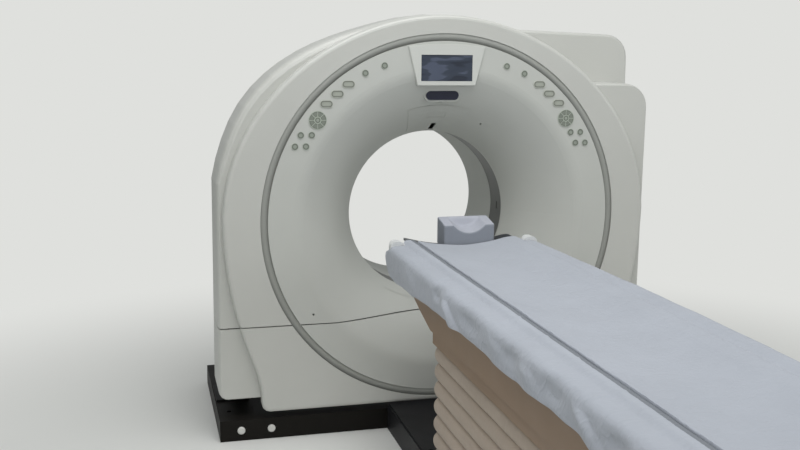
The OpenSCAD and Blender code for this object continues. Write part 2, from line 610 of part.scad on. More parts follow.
// bellows: rounded pleats round the column
pleat_h = (iso_h - skirt_bottom - plinth_h) / pleats;
pleat_in = 20;
wave_n = 6;
function pleat_wave(k) = let (u = k / wave_n) pleat_in * (1 - sqrt(max(0, sin(180 * (u - floor(u))))));
bellows_corner = 22;
module bellows_solid() {
  n = pleats * wave_n;
  x = table_half - 2;
  gantry() polyhedron(
    points = [for (k = [0:n]) let (w = pleat_wave(k), c = bellows_corner)
      for (q = [[1, 1, 0], [1, 1, 1], [-1, 1, 1], [-1, 1, 0], [-1, -1, 0], [-1, -1, 1], [1, -1, 1], [1, -1, 0]])
        [q[0] * (x - w - (q[2] == 1 ? c : 0)),
         (q[1] > 0 ? -bellows_near : -bellows_far) - q[1] * (w + (q[2] == 1 ? 0 : c)),
         -iso_h + plinth_h + k * pleat_h / wave_n]],
    faces = concat([[for (i = [0:7]) i]],
      [for (k = [0:n - 1]) for (i = [0:7])
        [k * 8 + i, (k + 1) * 8 + i, (k + 1) * 8 + (i + 1) % 8, k * 8 + (i + 1) % 8]],
      [[for (i = [7:-1:0]) n * 8 + i]]));
}
module bellows() color("#c9bda6") difference() {
  bellows_solid();
  gantry() block(-table_half + 32, table_half - 32, -bellows_far + 32, -bellows_near - 32, -iso_h, 0);
}

// table frame: beige beam with a tapered nose, a skirt over the bellows and a foot end
frame_half = table_w / 2 - rail_w;
deck_drop = 100;
foot = -table_reach;
frame_near = -table_gap - 10;
frame_side = [[frame_near, -deck_drop], [frame_near, -148], [frame_near - 34, -168],
  [-400, -212], [-550, -262], [-690, -skirt_top], [foot + 520, -skirt_top], [foot + 200, -262],
  [foot + 40, -205], [foot + 10, -180], [foot + 10, -deck_drop]];
wheel_pocket = 40;
module along_x(x0, x1) gantry() translate([x0, 0, 0]) rotate([90, 0, 90]) linear_extrude(x1 - x0) children();
module table_frame() color("#b7a68c") {
  difference() {
    along_x(-frame_half, frame_half) polygon(frame_side);
    gantry() {
      block(-frame_half + 10, frame_half - 10, foot + 520, -820, -skirt_top - 1, -deck_drop - 24);
      block(-wheel_pocket, wheel_pocket, wheel_y - 60, wheel_y + 60, wheel_z - wheel_r - 8, -deck_drop + 1);
      pin_x(axle_r + run_gap, -axle_half - 2, axle_half + 2, wheel_y, wheel_z);
    }
  }
  gantry() difference() {
    block(-table_half + 2, table_half - 2, -bellows_far, -bellows_near, -skirt_bottom + eps, -skirt_top + 1);
    block(-table_half + 12, table_half - 12, -bellows_far + 10, -bellows_near - 10,
      -skirt_bottom - 1, -skirt_top);
  }
  // cross members that land on the lifting column
  gantry() for (y = [-180, 180]) block(-table_half + 20, table_half - 20, column_y + y - 30,
    column_y + y + 30, -skirt_bottom + 16, -deck_drop - 20);
}

// side rails: white profiles with round tops and raised round ends
rail_mid = table_w / 2 - rail_w / 2;
rail_r = 22;
cap_l = 50;
module rail_section(w, top, bottom) {
  translate([-w / 2, bottom]) square([w, top - bottom - rail_r]);
  for (s = [-1, 1]) translate([s * (w / 2 - rail_r), top - rail_r]) circle(r = rail_r, $fn = 48);
  translate([-w / 2 + rail_r, top - rail_r - 1]) square([w - 2 * rail_r, rail_r + 1]);
}
module rail_cap(s, y, out) intersection() {
  gantry() translate([s * rail_mid, y, 0]) rotate([90, 0, 0]) translate([0, 0, out > 0 ? 0 : -cap_l])
    linear_extrude(cap_l) rail_section(rail_w + 2, -rail_drop + cap_rise, -rail_drop - rail_h - 2);
  gantry() translate([s * rail_mid, y - out * 34, -200]) {
    cylinder(r = 34, h = 200, $fn = 72);
    translate([-60, out > 0 ? -60 : 0, 0]) cube([120, 60, 200]);
  }
}
module side_rails() color("#e6e8e8") for (s = [-1, 1]) difference() {
  union() {
    gantry() translate([s * rail_mid, -table_gap - cap_l + 1, 0]) rotate([90, 0, 0])
      linear_extrude(table_reach - table_gap - 2 * cap_l + 2)
        rail_section(rail_w, -rail_drop, -rail_drop - rail_h);
    rail_cap(s, -table_gap, 1);
    rail_cap(s, foot, -1);
  }
  // the rail bolts flat to the side of the frame
  gantry() block(min(s * (frame_half - 20), s * (frame_half + eps)), max(s * (frame_half - 20), s * (frame_half + eps)),
    foot - 1, -table_gap + 1, -300, -deck_drop + 2);
}

// cradle: curved carbon shell with two runners
cradle_far = -table_reach + 90;
cradle_r = (cradle_w * cradle_w / 4 + cradle_sag * cradle_sag) / (2 * cradle_sag);
cradle_mid = -cradle_drop - cradle_sag + cradle_r;
function cradle_z(x) = cradle_mid - sqrt(cradle_r * cradle_r - x * x);
function mat_z(x) = cradle_mid - sqrt(pow(cradle_r - eps - mat_t, 2) - x * x);
module cradle_side(y0, y1) gantry() translate([0, y1, cradle_mid]) rotate([90, 0, 0])
  linear_extrude(y1 - y0) children();
strip_t = 1.2;
cradle_corner = 40;
// plan of the cradle, with its near corners rounded
module cradle_plan() polygon(concat([[-cradle_w / 2, cradle_far], [cradle_w / 2, cradle_far]],
  [for (a = [0:15:90]) [cradle_w / 2 - cradle_corner * (1 - cos(a)), -cradle_gap - cradle_corner * (1 - sin(a))]],
  [for (a = [90:15:180]) [-cradle_w / 2 + cradle_corner * (1 + cos(a)), -cradle_gap - cradle_corner * (1 - sin(a))]]));
module cradle() color("#2f3135") {
  intersection() {
    cradle_side(cradle_far - 5, -cradle_gap + 5) difference() {
      circle(r = cradle_r + cradle_t, $fn = 240);
      circle(r = cradle_r, $fn = 240);
    }
    gantry() translate([0, 0, -200]) linear_extrude(200) cradle_plan();
  }
  gantry() difference() {
    for (s = [-1, 1]) block(s * 120 - 24, s * 120 + 24, cradle_far + 20, -cradle_gap - 170,
      -deck_drop + eps, cradle_z(120) - 2);
    translate([0, 0, cradle_mid]) rotate([90, 0, 0]) cylinder(r = cradle_r + 2, h = 3000, $fn = 240);
  }
  gantry() block(-25, 25, cradle_far + 20, -cradle_gap - 170,
    -cradle_drop - cradle_sag - cradle_t - strip_t, -cradle_drop - cradle_sag - cradle_t + 2);
}

// friction wheel with its motor in the hub, sunk in the deck under the cradle
wheel_r = 30;
wheel_y = -560;
axle_r = 8;
axle_half = 52;
wheel_z = -cradle_drop - cradle_sag - cradle_t - strip_t - eps - wheel_r;
module drive_wheel() color("#55595c") gantry() {
  pin_x(wheel_r, -30, 30, wheel_y, wheel_z);
  pin_x(axle_r, -axle_half, axle_half, wheel_y, wheel_z);
}

// thin mat, cotton sheet and foam head holder
mat_near = -sheet_gap - 8;
module mattress() color("#565a60") cradle_side(cradle_far + 30, mat_near) intersection() {
  difference() {
    circle(r = cradle_r - eps, $fn = 240);
    circle(r = cradle_r - eps - mat_t, $fn = 240);
  }
  translate([-mat_w / 2, -cradle_r - 1]) square([mat_w, cradle_sag + mat_t]);
}
// the sheet: its middle lies on the mat and moves with the cradle, and a strip hangs over each rail
sheet_t = 1.5;
sheet_far = cradle_far + 10;
side_x = table_w / 2 + 1 + eps;
rail_top = -rail_drop + 2 * eps;
groove_w = 12;
mat_edge = mat_w / 2 + 0.5;
lap_x = cradle_w / 2 - 6;
function line_normal(p, i) = let (a = p[max(0, i - 1)], b = p[min(len(p) - 1, i + 1)], d = b - a)
  [d[1], -d[0]] / norm(d);
// cloth of even thickness above a line that runs from right to left, between two depths
module cloth(p, near, far) gantry() translate([0, near, 0]) rotate([90, 0, 0]) linear_extrude(near - far)
  polygon(concat(p, [for (i = [len(p) - 1:-1:0]) p[i] + sheet_t * line_normal(p, i)]));
mat_line = [for (i = [0:10]) let (x = mat_edge - i * mat_edge / 5) [x, mat_z(x) + 2 * eps]];
sheet_line = concat(
  [[lap_x, cradle_z(lap_x) + sheet_t + 4 * eps], [mat_edge + 14, cradle_z(mat_edge + 14) + sheet_t + 4 * eps]],
  mat_line,
  [[-mat_edge - 0.7, mat_z(mat_edge) - 1], [-mat_edge - 0.9, cradle_z(mat_edge) + 2.5]]);
module sheet() color("#c9cfe0") cloth(sheet_line, -sheet_gap, sheet_far);
// a strip from its hem over the rail to the rim of the cradle
strip_out = [[side_x + 0.5, -hem_drop], [side_x, -rail_drop - rail_r], [side_x - 3, -rail_drop - 9],
  [side_x - 8, -rail_drop - 2.5], [side_x - 20, rail_top], [frame_half, rail_top + 1],
  [cradle_w / 2 + 4, -cradle_drop + 1.6]];
left_end = mat_edge + 0.9 + sheet_t + 1;
left_strip = concat([[-left_end, cradle_z(left_end) + 2 * eps],
  [-left_end - groove_w, cradle_z(left_end + groove_w) + 2 * eps],
  [-left_end - groove_w - 5, cradle_z(left_end + groove_w) + 7]],
  [for (i = [len(strip_out) - 1:-1:0]) [-strip_out[i][0], strip_out[i][1]]]);
right_strip = concat(strip_out, [[lap_x, cradle_z(lap_x) + 2 * eps],
  [mat_edge + 16, cradle_z(mat_edge + 16) + 2 * eps]]);
module rail_drapes() color("#c9cfe0") for (s = [-1, 1]) difference() {
  cloth(s > 0 ? right_strip : left_strip, -sheet_gap, sheet_far);
  // cut round the raised rail end, past which only the outer fall runs on
  gantry() translate([s > 0 ? frame_half - 4 : -side_x + 0.02, -table_gap - cap_l - 1, -200])
    cube([side_x - 0.02 - frame_half + 4, 100, 200]);
  gantry() block(s > 0 ? side_x - 1 : -side_x - 60, s > 0 ? side_x + 60 : -side_x + 1, -table_gap - 4, 0, -200, 0);
}
holder_x = 40;
holder_rise = 23;
holder_lean = atan(holder_rise / holder_l);
dip_r = 90;
dip_depth = 34;
holder_back = 16;
module head_holder() color("#aeb3bd") difference() {
  intersection() {
    along_x(holder_x - holder_w / 2, holder_x + holder_w / 2) polygon([[-sheet_gap + 5, cradle_z(0)],
      [-sheet_gap + 5 + holder_l, cradle_z(0)], [-sheet_gap + 5 + holder_l, holder_top + holder_rise],
      [-sheet_gap + 5, holder_top]]);
    cradle_side(-400, 0) circle(r = cradle_r - eps, $fn = 240);
  }
  // scoop, open to the table and closed by a back wall
  gantry() translate([holder_x, -sheet_gap + 5, holder_top]) rotate([holder_lean - 90, 0, 0])
    translate([0, -dip_r + dip_depth, -60])
      cylinder(r = dip_r, h = 60 + (holder_l - holder_back) / cos(holder_lean), $fn = 96);
}

module key_left_1() keycap(-1, 0);
module key_left_2() keycap(-1, 1);
module key_left_3() keycap(-1, 2);
module key_left_4() keycap(-1, 3);
module key_left_5() keycap(-1, 4);
module key_left_6() keycap(-1, 5);
module key_left_7() keycap(-1, 6);
module key_left_8() keycap(-1, 7);
module key_left_9() keycap(-1, 8);
module key_left_10() keycap(-1, 9);
module key_right_1() keycap(1, 0);
module key_right_2() keycap(1, 1);
module key_right_3() keycap(1, 2);
module key_right_4() keycap(1, 3);
module key_right_5() keycap(1, 4);
module key_right_6() keycap(1, 5);
module key_right_7() keycap(1, 6);
module key_right_8() keycap(1, 7);
module key_right_9() keycap(1, 8);
module key_right_10() keycap(1, 9);

gantry_base();
anchor_caps();
tilt_posts();
tilt_gearbox();
front_cover_upper();
front_cover_lower();
side_cover_upper();
side_cover_lower();
top_box();
rear_cover();
bore_panel_upper();
bore_panel_lower();
ring_trim();
scan_window();
tunnel();
display_bezel();
display_screen();
sensor_window();
stator_frame();
rotor_disc();
xray_tube();
hv_generator();
detector();
slip_ring();
rotor_motor();
motor_pulley();
drive_belt();
table_base();
column_outer();
column_middle();
column_inner();
bellows();
table_frame();
side_rails();
drive_wheel();
cradle();
mattress();
sheet();
rail_drapes();
head_holder();
key_left_1();
key_left_2();
key_left_3();
key_left_4();
key_left_5();
key_left_6();
key_left_7();
key_left_8();
key_left_9();
key_left_10();
key_right_1();
key_right_2();
key_right_3();
key_right_4();
key_right_5();
key_right_6();
key_right_7();
key_right_8();
key_right_9();
key_right_10();
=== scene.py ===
import json
import math

import bmesh
import bpy
import numpy as np
from mathutils import Matrix, Vector


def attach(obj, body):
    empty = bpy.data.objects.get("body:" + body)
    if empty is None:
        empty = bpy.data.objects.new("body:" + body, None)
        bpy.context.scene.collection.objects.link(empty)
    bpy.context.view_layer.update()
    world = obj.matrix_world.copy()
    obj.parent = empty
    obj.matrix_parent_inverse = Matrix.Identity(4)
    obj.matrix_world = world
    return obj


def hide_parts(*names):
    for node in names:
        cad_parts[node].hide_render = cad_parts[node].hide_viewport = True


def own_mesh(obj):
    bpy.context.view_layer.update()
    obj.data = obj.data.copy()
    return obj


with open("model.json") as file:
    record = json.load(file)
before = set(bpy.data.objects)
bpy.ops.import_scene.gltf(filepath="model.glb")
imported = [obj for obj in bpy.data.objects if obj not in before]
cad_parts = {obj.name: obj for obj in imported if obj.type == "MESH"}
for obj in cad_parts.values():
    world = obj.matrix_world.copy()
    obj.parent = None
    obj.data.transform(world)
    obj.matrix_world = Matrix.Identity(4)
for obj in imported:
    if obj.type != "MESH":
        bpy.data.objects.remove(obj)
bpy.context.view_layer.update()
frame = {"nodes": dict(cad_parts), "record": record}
nodes = frame["nodes"]
X, Y, Z = 0, 1, 2


def places(node):
    """The corners of a node, one row each."""
    return np.array([v.co[:] for v in nodes[node].data.vertices])


def sides(node, axis, start=0.0):
    """Low and high side of a node along an axis, measured from a start, to a tenth of a millimetre."""
    along = places(node)[:, axis] - start
    return round(float(along.min()), 4), round(float(along.max()), 4)


FRONT = sides("front_cover_lower", Y)[0]  # place of the gantry face
AXIS = round(sum(sides("ring_trim", Z)) / 2, 4)  # bore axis above the floor
MERGE, IN_PLANE = 1e-6, 2e-5  # corners this close are one, and a corner this close to a plane lies in it


# Materials
def linear(hexa):
    """A colour in hexadecimal digits, as linear red, green and blue."""
    c = [int(hexa[i : i + 2], 16) / 255 for i in (1, 3, 5)]
    return [x / 12.92 if x <= 0.04045 else ((x + 0.055) / 1.055) ** 2.4 for x in c]


class Graph:
    """A node material in the making: short calls for the nodes that every surface here is built from."""

    def __init__(self, name):
        self.mat = bpy.data.materials.new(name)
        self.mat.use_nodes = True
        self.tree = self.mat.node_tree
        self.tree.nodes.clear()
        self.out = self.add("ShaderNodeOutputMaterial")
        self.bsdf = self.add("ShaderNodeBsdfPrincipled")
        self.link(self.bsdf.outputs[0], self.out.inputs[0])
        self.coords = self.add("ShaderNodeTexCoord").outputs["Object"]

    def add(self, kind, **values):
        n = self.tree.nodes.new(kind)
        for k, v in values.items():
            setattr(n, k, v)
        return n

    def link(self, a, b):
        self.tree.links.new(a, b)

    def noise(self, scale, detail=3.0, rough=0.55, stretch=None):
        n = self.add("ShaderNodeTexNoise")
        n.inputs["Scale"].default_value = scale
        n.inputs["Detail"].default_value = detail
        n.inputs["Roughness"].default_value = rough
        src = self.coords
        if stretch:
            m = self.add("ShaderNodeMapping")
            m.inputs["Scale"].default_value = stretch
            self.link(src, m.inputs["Vector"])
            src = m.outputs[0]
        self.link(src, n.inputs["Vector"])
        return n.outputs["Fac"]

    def axes(self):
        """The object coordinates as X, Y and Z."""
        split = self.add("ShaderNodeSeparateXYZ")
        self.link(self.coords, split.inputs[0])
        return split.outputs

    def ramp(self, fac, stops):
        r = self.add("ShaderNodeValToRGB")
        e = r.color_ramp.elements
        while len(e) < len(stops):
            e.new(0.5)
        for i, (pos, col) in enumerate(stops):
            e[i].position = pos
            e[i].color = (*col, 1) if len(col) == 3 else col
        self.link(fac, r.inputs[0])
        return r.outputs[0]

    def math(self, op, a, b=0.0):
        m = self.add("ShaderNodeMath", operation=op)
        for i, v in enumerate((a, b)):
            if isinstance(v, (int, float)):
                m.inputs[i].default_value = v
            else:
                self.link(v, m.inputs[i])
        return m.outputs[0]

    def hypot(self, a, b):
        return self.math("SQRT", self.math("ADD", self.math("MULTIPLY", a, a), self.math("MULTIPLY", b, b)))

    def mix(self, fac, a, b):
        m = self.add("ShaderNodeMix", data_type="RGBA")
        for sock, v in ((m.inputs[0], fac), (m.inputs[6], a), (m.inputs[7], b)):
            if isinstance(v, (int, float)):
                sock.default_value = v
            elif isinstance(v, (list, tuple)):
                sock.default_value = (*v, 1)
            else:
                self.link(v, sock)
        return m.outputs[2]

    def bump(self, height, strength, distance=0.001):
        b = self.add("ShaderNodeBump")
        b.inputs["Strength"].default_value = strength
        b.inputs["Distance"].default_value = distance
        self.link(height, b.inputs["Height"])
        last = self.bsdf.inputs["Normal"]
        if last.is_linked:
            self.link(last.links[0].from_socket, b.inputs["Normal"])
        self.link(b.outputs[0], last)

    def set(self, **values):
        """Set shader sockets by name; a number goes on the socket itself."""
        for k, v in values.items():
            sock = self.bsdf.inputs[k.replace("_", " ")]
            if isinstance(v, (int, float)):
                sock.default_value = v
            else:
                self.link(v, sock)

    def rough(self, scale, spread, least):
        """Uneven roughness: least, and up to spread more."""
        self.set(Roughness=self.math("ADD", self.math("MULTIPLY", self.noise(scale, 3), spread), least))


def times(colour, k):
    """A darker or lighter tone of a colour."""
    return [min(1, c * k) for c in colour]


BLACK, WHITE = (0, 0, 0), (1, 1, 1)
SKIN = 0.0006  # depth of the fine texture of moulded and painted surfaces


def surface(name, colour, rough=0.45, vary=0.06, grain=900, grain_bump=0.12, metal=0.0, coat=0.0,
            cloud=2.5, spots=0.0, gloss=0.5):
    """A moulded, painted or cast surface: cloudy tone, uneven sheen and a fine skin texture."""
    g = Graph(name)
    base = linear(colour)
    tone = g.ramp(g.noise(cloud, 4), [(0.3, times(base, 1 - vary)), (0.7, times(base, 1 + vary * 0.6))])
    if spots:
        speck = g.ramp(g.noise(grain * 0.35, 2), [(0.55, BLACK), (0.75, WHITE)])
        tone = g.mix(g.math("MULTIPLY", speck, spots), tone, times(base, 0.6))
    g.set(Base_Color=tone, Metallic=metal, Coat_Weight=coat, Coat_Roughness=0.2, Specular_IOR_Level=gloss)
    g.rough(9, 0.14, rough - 0.07)
    g.bump(g.noise(grain, 2), grain_bump, SKIN)
    return g.mat


def cloth(name, colour, thread=1100, vary=0.05, sheen=0.25, weave=0.35, crease=0.25, band=None):
    """Woven cotton: crossing threads, faint slubs and a soft sheen; band is (first x, last x, colour) of a
    strip of painted shade.
    """
    g = Graph(name)
    base = linear(colour)
    bands = thread / 6.28  # the wave texture counts in radians
    threads = []
    for axis in ("X", "Y"):
        w = g.add("ShaderNodeTexWave", wave_type="BANDS", bands_direction=axis)
        for socket, value in (("Scale", bands), ("Distortion", 0.6), ("Detail", 1.0)):
            w.inputs[socket].default_value = value
        g.link(g.coords, w.inputs["Vector"])
        threads.append(w.outputs["Fac"])
    crossed = g.math("MAXIMUM", threads[0], threads[1])
    tone = g.ramp(g.noise(4, 4), [(0.3, times(base, 1 - vary)), (0.72, times(base, 1 + vary))])
    slub = g.noise(60, 2, stretch=(1, 12, 1))
    tone = g.mix(g.math("MULTIPLY", slub, 0.1), tone, times(base, 0.82))
    # painted shade: a darker strip of cloth between two places across the table
    if band:
        first, last, shade = band
        uneven = g.math("MULTIPLY", g.math("SUBTRACT", g.noise(90, 3), 0.5), 0.004)
        edge = g.math("ADD", g.axes()["X"], uneven)
        inside = g.math("MULTIPLY", g.math("GREATER_THAN", edge, first), g.math("LESS_THAN", edge, last))
        tone = g.mix(inside, tone, linear(shade))
    g.set(Base_Color=tone, Roughness=0.92, Sheen_Weight=sheen, Sheen_Roughness=0.5)
    g.bump(crossed, weave, 0.0004)
    g.bump(g.noise(35, 3), crease, 0.002)
    g.bump(g.noise(13, 3, stretch=(1, 2.2, 1)), crease, 0.006)
    # thin wandering creases, where this noise is near its middle value
    off = g.math("ABSOLUTE", g.math("SUBTRACT", g.noise(16, 2, stretch=(0.45, 1, 0.8)), 0.5))
    g.bump(g.math("SUBTRACT", 1.0, g.math("MINIMUM", g.math("MULTIPLY", off, 16), 1.0)), crease, 0.0022)
    return g.mat


MOULDED = dict(vary=0.025, grain=1400, grain_bump=0.10)
CAST = dict(rough=0.5, grain=500, grain_bump=0.35, spots=0.3, cloud=5)
SHEETING = dict(colour="#a8adb6", thread=1100, vary=0.035, sheen=0.12, crease=0.4)
MAT = {  # by slot
    "cover_white": surface("cover", "#c6c7c2", rough=0.40, coat=0.15, **MOULDED),
    "panel_white": surface("panel", "#c3c5c0", rough=0.44, coat=0.1, **MOULDED),
    "base_black": surface("base", "#191714", vary=0.25, gloss=0.15, **CAST),
    "post_black": surface("post", "#1c1c1c", rough=0.5, vary=0.2, grain=500, grain_bump=0.3, gloss=0.2),
    "machine_grey": surface("machine", "#6d7376", rough=0.45, vary=0.1, grain=400, grain_bump=0.3),
    "rotor_metal": surface("rotor", "#a5a8aa", rough=0.35, vary=0.08, metal=1.0, grain=600, grain_bump=0.2),
    "unit_green": surface("unit_green", "#93a08a", rough=0.45, vary=0.06, grain=500),
    "unit_grey": surface("unit_grey", "#8d9193", rough=0.4, vary=0.08, metal=0.7, grain=500),
    "slip_brass": surface("slip", "#b98f4e", rough=0.3, vary=0.08, metal=1.0, grain=800),
    "belt_black": surface("belt", "#232425", rough=0.75, vary=0.15, grain=300, grain_bump=0.5),
    "cap_white": surface("cap", "#d6d6d2", rough=0.35, vary=0.03, grain=1200),
    "bezel_white": surface("bezel", "#cfd1cc", rough=0.4, vary=0.02, grain=1400, coat=0.15),
    "window_dark": surface("window", "#4e4f4b", rough=0.35, vary=0.08, grain=1200, grain_bump=0.08, coat=0.2),
    "plinth_black": surface("plinth", "#1d1d20", vary=0.2, gloss=0.25, **CAST),
    "column_steel": surface("column", "#8f9396", rough=0.35, vary=0.08, metal=1.0, grain=700),
    "bellows_beige": cloth("bellows", "#b0a294", thread=700, vary=0.05, sheen=0.1, weave=0.25),
    "frame_beige": surface("frame", "#937c67", rough=0.5, vary=0.05, grain=900, grain_bump=0.25),
    "rail_white": surface("rail", "#d8dada", rough=0.35, vary=0.03, grain=1200),
    "cradle_black": surface("carbon", "#2d3037", rough=0.35, vary=0.12, grain=700, grain_bump=0.15, coat=0.3),
    "mat_grey": surface("mat", "#565a60", rough=0.6, vary=0.08, grain=700, grain_bump=0.4),
    "sheet_blue": cloth("sheet", **SHEETING),
    "holder_grey": surface("holder", "#8d929b", rough=0.7, vary=0.04, grain=700, grain_bump=0.4),
}

KEY_FIELDS = 8  # fields round the pad's middle
PAD, OVALS = 6, (3, 4, 5)  # which keys of a row are the pad and the ovals


def key_surface(name, colour, pad):
    """A rubber key: pale rim, dark moulded outline and a lighter middle; the round pad has eight fields."""
    low, high = places(name).min(axis=0), places(name).max(axis=0)
    middle, half = (low + high) / 2, (high - low) / 2
    g = Graph(name)
    base = linear(colour)
    at = g.axes()
    across = g.math("SUBTRACT", at["X"], float(middle[0]))
    upward = g.math("SUBTRACT", at["Z"], float(middle[2]))
    beyond = g.math("MAXIMUM", g.math("SUBTRACT", g.math("ABSOLUTE", across), float(half[0] - half[2])), 0.0)
    r = g.math("DIVIDE", g.hypot(beyond, upward), float(half[2]))  # 0 in the middle, 1 at the rim
    rim, dark, mild = times(base, 1.5), times(base, 0.48), times(base, 1.12)
    if pad:
        field = times(base, 0.76)
        tone = g.ramp(r, [(0.0, mild), (0.15, mild), (0.19, dark), (0.25, dark), (0.29, rim), (0.36, rim),
                          (0.41, dark), (0.48, field), (0.76, field), (0.82, dark), (0.86, dark),
                          (0.90, rim)])
        turns = g.math("MULTIPLY", g.math("ARCTAN2", upward, across), KEY_FIELDS / (2 * math.pi))
        turn = g.math("FRACT", g.math("ADD", turns, KEY_FIELDS + 0.5))
        off = g.math("ABSOLUTE", g.math("SUBTRACT", turn, 0.5))
        off = g.math("MULTIPLY", off, g.math("MAXIMUM", r, 0.05))
        spoke = g.ramp(off, [(0.0, WHITE), (0.035, WHITE), (0.055, BLACK), (0.085, BLACK)])
        line = g.ramp(off, [(0.05, BLACK), (0.065, WHITE), (0.09, WHITE), (0.11, BLACK)])
        ring = g.ramp(r, [(0.36, BLACK), (0.40, WHITE), (0.84, WHITE), (0.87, BLACK)])
        tone = g.mix(g.math("MULTIPLY", line, ring), tone, dark)
        tone = g.mix(g.math("MULTIPLY", spoke, ring), tone, rim)
    else:
        tone = g.ramp(r, [(0.0, mild), (0.42, base), (0.52, dark), (0.72, dark), (0.80, rim), (1.0, rim)])
    g.set(Base_Color=g.mix(g.math("MULTIPLY", g.noise(220, 3), 0.25), tone, times(base, 0.8)))
    g.rough(60, 0.12, 0.44)
    g.bump(g.noise(1500, 2), 0.2, SKIN)
    return g.mat


def ring_surface():
    """The trim ring: a grey band of soft rounded section, with painted shade on the edge that faces down and
    a painted highlight on the edge that faces up.
    """
    co = places("ring_trim")
    radii = np.hypot(co[:, 0], co[:, 2] - AXIS)
    g = Graph("ring")
    pale, plain, painted_shade = linear("#b1b3ae"), linear("#999b96"), linear("#777975")
    at = g.axes()
    up = g.math("SUBTRACT", at["Z"], AXIS)
    r = g.hypot(at["X"], up)
    span = g.math("DIVIDE", g.math("SUBTRACT", r, float(radii.min())), float(radii.max() - radii.min()))
    outward = g.math("MULTIPLY", g.math("SUBTRACT", span, 0.5), g.math("DIVIDE", up, r))
    # painted light and shade: the side of the band that faces up is painted pale, the side that faces down
    # dark
    tone = g.ramp(g.math("SUBTRACT", 0.5, outward), [(0.15, pale), (0.50, plain), (0.85, painted_shade)])
    g.set(Base_Color=g.mix(g.math("MULTIPLY", g.noise(4, 4), 0.16), tone, times(pale, 0.75)))
    g.rough(9, 0.14, 0.43)
    section = g.math("MULTIPLY", g.math("MULTIPLY", span, g.math("SUBTRACT", 1.0, span)), 4.0)
    g.bump(section, 1.0, 0.006)
    g.bump(g.noise(900, 2), 0.15, SKIN)
    return g.mat


def screen_surface():
    """A dim display: soft fields of blue grey behind glass, nothing that can be read."""
    g = Graph("screen_fields")
    fields = g.noise(1.0, 1.5, 0.4, stretch=(9, 1, 34))
    tones = zip((0.36, 0.44, 0.56, 0.62), ("#272d3a", "#363e4e", "#39414f", "#525a6d"))
    tone = g.ramp(fields, [(at, linear(colour)) for at, colour in tones])
    g.set(Base_Color=g.mix(g.math("MULTIPLY", g.noise(26, 3), 0.3), tone, linear("#343b49")), Coat_Weight=0.6)
    g.rough(30, 0.1, 0.18)
    g.bump(g.noise(1800, 2), 0.03, SKIN)
    return g.mat


OWN = {  # nodes with a material of their own
    "ring_trim": ring_surface(),
    "display_screen": screen_surface(),
    "sensor_window": surface("sensor", "#23263a", rough=0.25, vary=0.1, grain=1500, grain_bump=0.05,
                             coat=0.5),
}
for side in ("left", "right"):
    for k in range(1, 11):
        key = f"key_{side}_{k}"
        OWN[key] = key_surface(key, "#a5a99f" if k in OVALS else "#989f94", pad=k == PAD)
for part in frame["record"]["subparts"]:
    mesh = nodes[part["node"]].data
    mesh.materials.clear()
    mesh.materials.append(OWN.get(part["node"]) or MAT[part["material_slot"]])


def face_outwards(mesh):
    bm = bmesh.new()
    bm.from_mesh(mesh)
    bmesh.ops.remove_doubles(bm, verts=bm.verts, dist=MERGE)
    bmesh.ops.recalc_face_normals(bm, faces=bm.faces)
    bm.to_mesh(mesh)
    bm.free()


def piece(name, verts, faces, material, body, slot, sharp):
    """A closed soft or padded piece that rides a body; edges over the angle sharp stay sharp."""
    mesh = bpy.data.meshes.new(name)
    mesh.from_pydata([tuple(map(float, v)) for v in verts], [], faces)
    mesh.validate()
    o = bpy.data.objects.new(name, mesh)
    bpy.context.scene.collection.objects.link(o)
    mesh.materials.append(material)
    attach(o, body)
    face_outwards(mesh)
    for p in mesh.polygons:
        p.use_smooth = True
    mesh.set_sharp_from_angle(angle=sharp)
    return o


# Lower front cover
def refilled(o, name, planes, body):
    """A copy of a solid whose flat faces in the given planes are filled again, edge to edge."""
    bm = bmesh.new()
    bm.from_mesh(o.data)
    bm.transform(o.matrix_world)
    bmesh.ops.remove_doubles(bm, verts=bm.verts, dist=MERGE)
    for y in planes:
        flat = {f for f in bm.faces if all(abs(v.co.y - y) < IN_PLANE for v in f.verts)}
        outline = [e for e in bm.edges if sum(f in flat for f in e.link_faces) == 1]
        bmesh.ops.delete(bm, geom=list(flat), context="FACES_KEEP_BOUNDARY")
        bmesh.ops.triangle_fill(bm, edges=outline, use_beauty=True)
    bmesh.ops.recalc_face_normals(bm, faces=bm.faces)
    mesh = bpy.data.meshes.new(name)
    bm.to_mesh(mesh)
    bm.free()
    mesh.materials.append(o.data.materials[0])
    copy = bpy.data.objects.new(name, mesh)
    bpy.context.scene.collection.objects.link(copy)
    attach(copy, body)
    return copy


flats = sides("front_cover_lower", Y)  # its flat front and back
lower_front = refilled(nodes["front_cover_lower"], "front_cover_low", flats, "gantry")
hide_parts("front_cover_lower")

# Shared shapes of the table
MAT_GAP, MAT_THICK = 0.0005, 0.0083  # the mattress lies this far over the cradle, and its top this far
TROUGH = sides("mattress", Z, AXIS)[0] - MAT_GAP  # lowest line of the cradle's top, from the bore axis
SAG = sides("cradle", Z, AXIS)[1] - TROUGH
CRADLE_R = round((sides("cradle", X)[1] ** 2 + SAG**2) / (2 * SAG), 4)
CRADLE_MID = round(TROUGH + CRADLE_R, 4)  # centre of the cradle's curve
MAT_R = CRADLE_R - MAT_THICK


def cradle_z(x):
    return CRADLE_MID - math.sqrt(CRADLE_R**2 - x * x)


def mat_z(x):
    return CRADLE_MID - math.sqrt(MAT_R**2 - x * x)


def bell(v):
    """A smooth hump: 1 at 0, 0 at -1 and 1."""
    return 0.5 * (1 + math.cos(math.pi * max(-1.0, min(1.0, v))))


def step(v):
    """A smooth step from 0 to 1."""
    v = max(0.0, min(1.0, v))
    return v * v * (3 - 2 * v)


waves_made = {}


